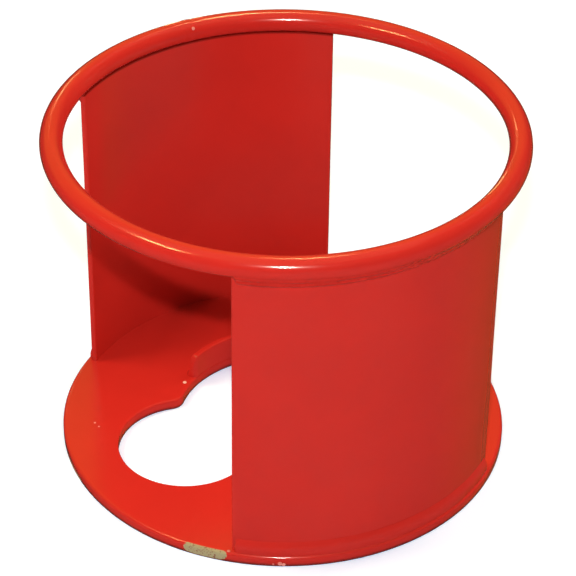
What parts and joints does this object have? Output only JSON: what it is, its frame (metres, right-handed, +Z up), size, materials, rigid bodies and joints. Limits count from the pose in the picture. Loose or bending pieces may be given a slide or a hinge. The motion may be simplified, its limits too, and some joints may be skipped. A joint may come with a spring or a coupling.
{
  "type": "welded ring guard",
  "caption": "Round welded guard: a ring of round bar on curved side plates over a disc base with a keyhole opening and a raised neck collar.",
  "frame": {"origin": "centre of the underside of the base plate, on the axis of the top ring", "axes": "+Z up along the axis of the ring and the neck hole; the side plates are centred on +X (right) and -X (left); the lobe of the keyhole and the mouth of the collar face -Y, the open front"},
  "size_m": [0.2521, 0.252, 0.1922],
  "materials": {
    "red_enamel": "gloss enamel on steel"
  },
  "bodies": {
    "root": {"base_plate": "red_enamel", "neck_collar": "red_enamel", "collar_weld": "red_enamel", "top_ring": "red_enamel", "ring_closing_weld": "red_enamel", "right_side_plate": "red_enamel", "right_foot_weld": "red_enamel", "right_ring_weld": "red_enamel", "left_side_plate": "red_enamel", "left_foot_weld": "red_enamel", "left_ring_weld": "red_enamel"}
  },
  "joints": []
}
